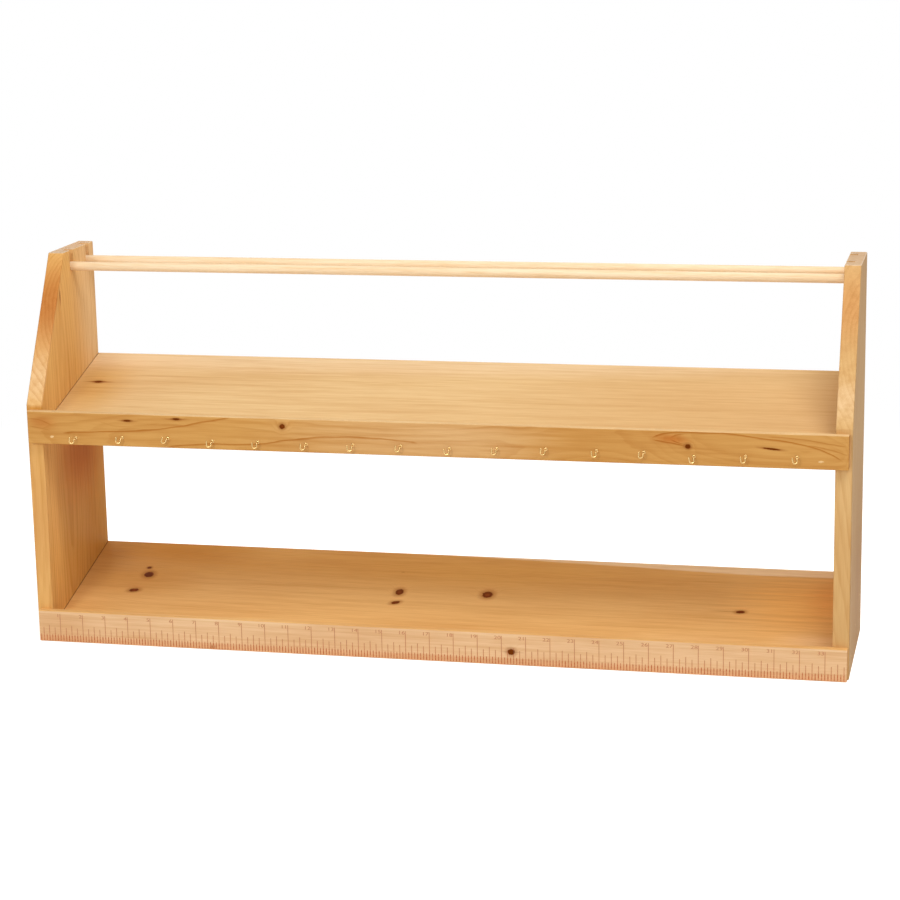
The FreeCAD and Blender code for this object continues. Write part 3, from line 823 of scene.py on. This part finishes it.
def shoulder_hook(settings):
    """A small hook with its screw along +Y: one round profile carried from the screw's point through the
    shoulder and along the wire, which runs out, turns down a quarter circle and goes round a half circle.
    The half circle is swung to the left about the upright, and the profile's side turns with the wire."""
    wire, shoulder_radius = settings.wire / 2, settings.flange / 2
    neck, bend, drop, bowl, rise = 3.2 * MM, 1.9 * MM, 0.7 * MM, 2.3 * MM, 3.8 * MM
    screw, point, root, pitch, thread = 12.0 * MM, 3.0 * MM, 0.9 * MM, 1.2 * MM, 0.22 * MM
    around = 20

    # Screw and shoulder: distance out from the board's face, negative inside the wood, and radius
    depth = np.linspace(-screw, -0.4 * MM, 96)
    shank = np.minimum(root, (depth + screw) / point * root)
    shoulder_out = np.array([-0.02, 0.0, 0.2, 0.42, 0.6, 0.72, 0.78, 0.8, 0.81]) * MM
    shoulder_rise = np.array([0.4, 0.97, 1.0, 0.98, 0.9, 0.78, 0.64, 0.54, 0.46]) * shoulder_radius
    wire_out = np.linspace(1.0 * MM, neck, 6)
    straight = np.concatenate([depth, shoulder_out, wire_out])
    zeros = np.zeros(len(straight))
    path = np.stack([zeros, -straight, zeros], -1)

    # The first bend, the drop, and the bowl as an angle round its own centre
    turn = np.linspace(0, np.pi / 2, 10)[1:]
    zeros = np.zeros(len(turn))
    first = np.stack([zeros, -neck - bend * np.sin(turn), -bend * (1 - np.cos(turn))], -1)
    swung = np.array([-math.sin(settings.swing), -math.cos(settings.swing), 0.0])
    hinge = np.array([math.cos(settings.swing), -math.sin(settings.swing), 0.0])
    start = np.array([0.0, -neck - bend, -bend - drop])
    round_bowl = np.linspace(0, np.pi, 26)
    second = (start + bowl * (1 - np.cos(round_bowl))[:, None] * swung
              - bowl * np.sin(round_bowl)[:, None] * np.array([0, 0, 1]))
    cap = np.linspace(0, np.pi / 2, 7)[1:]
    height = np.concatenate([np.linspace(0, 1, 6)[1:] * rise, rise + wire * np.sin(cap)])
    third = start + 2 * bowl * swung + height[:, None] * np.array([0, 0, 1])
    centres = np.concatenate([path, first, second, third])

    # The side stays along X up to the bowl, and then turns about the hinge as the wire does
    turned = np.concatenate([np.zeros(len(path) + len(first)), round_bowl, np.full(len(third), np.pi)])
    side = np.array([1.0, 0.0, 0.0])
    sides = (side * np.cos(turned)[:, None] + np.cross(hinge, side) * np.sin(turned)[:, None]
             + hinge * (hinge @ side) * (1 - np.cos(turned))[:, None])
    count = len(first) + len(second) + len(third) - len(cap)
    radii = np.concatenate([shank, shoulder_rise, np.full(len(wire_out) + count, wire), wire * np.cos(cap)])

    # The thread is a groove that winds once round in each pitch and runs out before the shoulder
    angle = np.linspace(0, 2 * np.pi, around, endpoint=False)
    winding = 0.5 + 0.5 * np.cos(angle[None, :] - 2 * np.pi * centres[:, 1, None] / pitch)
    threaded = (centres[:, 1] > 3.0 * MM) * np.minimum(1, radii / root)
    return carried_round(centres, sides, np.maximum(radii, 1e-7), around,
                         thread * winding ** 2 * threaded[:, None] * (radii > 0.3 * MM)[:, None])


class ORGANIZER_OT_ruler_print(bpy.types.Operator):
    """Prints the ruler: a mark each eighth of an inch and the numbers 1 to 33"""
    bl_idname = "organizer.ruler_print"
    bl_label = "Ruler print"

    def execute(self, context):
        settings = context.scene.organizer_ruler
        material = ink(settings.ink)
        low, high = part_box("ruler_strip")
        zero = low.x - ZERO_PAST_END
        marks = ruler_marks(low, high, zero, settings.tick_width)
        figures = ruler_figures(context, low, high, zero, settings.number_height)
        for name, (points, faces) in (("ruler_marks", marks), ("ruler_numbers", figures)):
            new_piece(name, points, faces, material, CARCASS, smooth=False)
        return {"FINISHED"}


class ORGANIZER_OT_fixings(bpy.types.Operator):
    """Finishes the nails and the filler over them, and smears a little filler over the rail's two nails"""
    bl_idname = "organizer.fixings"
    bl_label = "Nails and filler"

    def execute(self, context):
        paste = filler()
        for names, material in ((("side_nails_left", "side_nails_right", "rail_nails"), steel()),
                                (("side_filler_left", "side_filler_right", "rail_filler"), paste)):
            for name in names:
                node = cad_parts[name]
                node.data.materials.clear()
                node.data.materials.append(material)

        corners = np.array([vertex.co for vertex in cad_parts["rail_filler"].data.vertices])
        for name, side in (("rail_smear_left", -1), ("rail_smear_right", 1)):
            plug = corners[corners[:, 0] * side > 0]
            middle = (plug.min(0) + plug.max(0)) / 2
            middle[1] = plug[:, 1].min()
            points, faces = filler_smear(middle, 2.4 * MM, 1.0 * MM, 0.16 * MM, side)
            outwards(new_piece(name, points, faces, paste, CARCASS))
        return {"FINISHED"}


def looked_at(tree):
    """1 where the camera, a gloss or glass looks, and 0 for light that goes on to another surface."""
    rays = add(tree, "LightPath").outputs
    seen = add(tree, "Math", (rays["Is Camera Ray"], rays["Is Glossy Ray"]), operation="MAXIMUM").outputs[0]
    return add(tree, "Math", (seen, rays["Is Transmission Ray"]), operation="MAXIMUM").outputs[0]


def white_surroundings(scene, ambient):
    """White where it is looked at, and a dim light from all round otherwise."""
    world = bpy.data.worlds.new("studio")
    scene.world = world
    tree = empty_tree(world)
    light = add(tree, "Background", (linear("FFFAF2"), ambient)).outputs[0]
    white = add(tree, "Background", (linear("FFFFFF"), 1.0)).outputs[0]
    mixed = add(tree, "MixShader", (looked_at(tree), light, white)).outputs[0]
    add(tree, "OutputWorld", {"Surface": mixed})


def white_paper():
    """Matt white paper that keeps the shadow near the object and turns to plain white further out."""
    material = bpy.data.materials.new("white_paper")
    tree = empty_tree(material)
    place = add(tree, "TexCoord").outputs["Object"]
    away = add(tree, "VectorMath", (place,), operation="LENGTH").outputs["Value"]
    far = add(tree, "MapRange", (away, 0.5, 1.3), interpolation_type="SMOOTHSTEP").outputs[0]
    seen = looked_at(tree)
    paper = add(tree, "BsdfDiffuse", (linear("F2F2F2"),)).outputs[0]
    lift = add(tree, "Emission", (linear("FFFFFF"), 0.6)).outputs[0]
    lifted = add(tree, "AddShader", (paper, lift)).outputs[0]
    near = add(tree, "MixShader", (seen, paper, lifted)).outputs[0]
    white = add(tree, "Emission", (linear("FFFFFF"), 1.0)).outputs[0]
    share = add(tree, "Math", (far, seen), operation="MULTIPLY").outputs[0]
    mixed = add(tree, "MixShader", (share, near, white)).outputs[0]
    add(tree, "OutputMaterial", {"Surface": mixed})
    return material


def floor(scene):
    """A wide sheet of paper just under the object."""
    half = 30
    mesh = bpy.data.meshes.new("floor")
    mesh.from_pydata([(-half, -half, 0), (half, -half, 0), (half, half, 0), (-half, half, 0)], [],
                     [(0, 1, 2, 3)])
    mesh.materials.append(white_paper())
    sheet = bpy.data.objects.new("floor", mesh)
    sheet.location.z = -0.2 * MM
    scene.collection.objects.link(sheet)


def lamps(scene, settings):
    """Four soft square lamps that look at the object's middle."""
    target = Vector((0.0, 0.0, 0.2))
    for name, place, size, power in (("key", (1.0, -1.1, 2.45), 1.1, settings.key_power),
                                     ("fill", (-1.0, -2.4, 1.3), 0.6, settings.fill_power),
                                     ("back", (1.2, 0.5, 2.5), 1.8, settings.back_power),
                                     ("rear", (-1.6, 1.4, 0.7), 1.4, settings.rear_power)):
        data = bpy.data.lights.new(name, "AREA")
        data.size = size
        data.energy = power
        lamp = bpy.data.objects.new(name, data)
        lamp.location = place
        lamp.rotation_euler = (target - Vector(place)).to_track_quat("-Z", "Y").to_euler()
        scene.collection.objects.link(lamp)


def camera(scene, lens):
    """The camera, to the right of the middle and looking down."""
    data = bpy.data.cameras.new("camera")
    data.lens = lens
    data.sensor_width = 36.0
    eye = bpy.data.objects.new("camera", data)
    right, back, up = 0.5858, 2.3972, 0.7924
    yaw, pitch, roll = (math.radians(value) for value in (13.135, -13.011, -1.128))
    turn = Matrix.Rotation(yaw, 4, "Z") @ Matrix.Rotation(math.pi / 2 + pitch, 4, "X")
    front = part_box("side_panel_left")[0].y
    place = Matrix.Translation((right, front - back, up))
    eye.matrix_world = place @ turn @ Matrix.Rotation(roll, 4, "Z")
    scene.collection.objects.link(eye)
    scene.camera = eye


class ORGANIZER_OT_stage(bpy.types.Operator):
    """Sets the pale floor, the soft lamps, the white surroundings and the camera"""
    bl_idname = "organizer.stage"
    bl_label = "Stage"

    def execute(self, context):
        scene = context.scene
        settings = scene.organizer_stage
        scene.view_settings.view_transform = "Standard"
        white_surroundings(scene, settings.ambient)
        floor(scene)
        lamps(scene, settings)
        camera(scene, settings.lens)
        return {"FINISHED"}


class ORGANIZER_PT_panel(bpy.types.Panel):
    """Lists the organizer's pieces and their settings"""
    bl_idname = "ORGANIZER_PT_panel"
    bl_label = "Benchtop organizer"
    bl_space_type = "VIEW_3D"
    bl_region_type = "UI"
    bl_category = "Organizer"

    def draw(self, context):
        for operator in OPERATORS:
            self.layout.operator(operator.bl_idname)
        for name, group in SETTINGS.items():
            values = getattr(context.scene, "organizer_" + name)
            box = self.layout.box()
            box.label(text=group.__doc__)
            for key in group.__annotations__:
                box.prop(values, key)


OPERATORS = (ORGANIZER_OT_boards, ORGANIZER_OT_dowels, ORGANIZER_OT_hooks, ORGANIZER_OT_ruler_print,
             ORGANIZER_OT_fixings, ORGANIZER_OT_stage)
CLASSES = (*SETTINGS.values(), *OPERATORS, ORGANIZER_PT_panel)


def register():
    for item in CLASSES:
        bpy.utils.register_class(item)
    for name, group in SETTINGS.items():
        setattr(bpy.types.Scene, "organizer_" + name, bpy.props.PointerProperty(type=group))


def unregister():
    for name in SETTINGS:
        delattr(bpy.types.Scene, "organizer_" + name)
    for item in reversed(CLASSES):
        bpy.utils.unregister_class(item)


def main():
    """Makes every piece and the stage."""
    register()
    bpy.ops.organizer.boards()
    bpy.ops.organizer.dowels()
    bpy.ops.organizer.hooks()
    bpy.ops.organizer.ruler_print()
    bpy.ops.organizer.fixings()
    bpy.ops.organizer.stage()


if __name__ == "__main__":
    main()
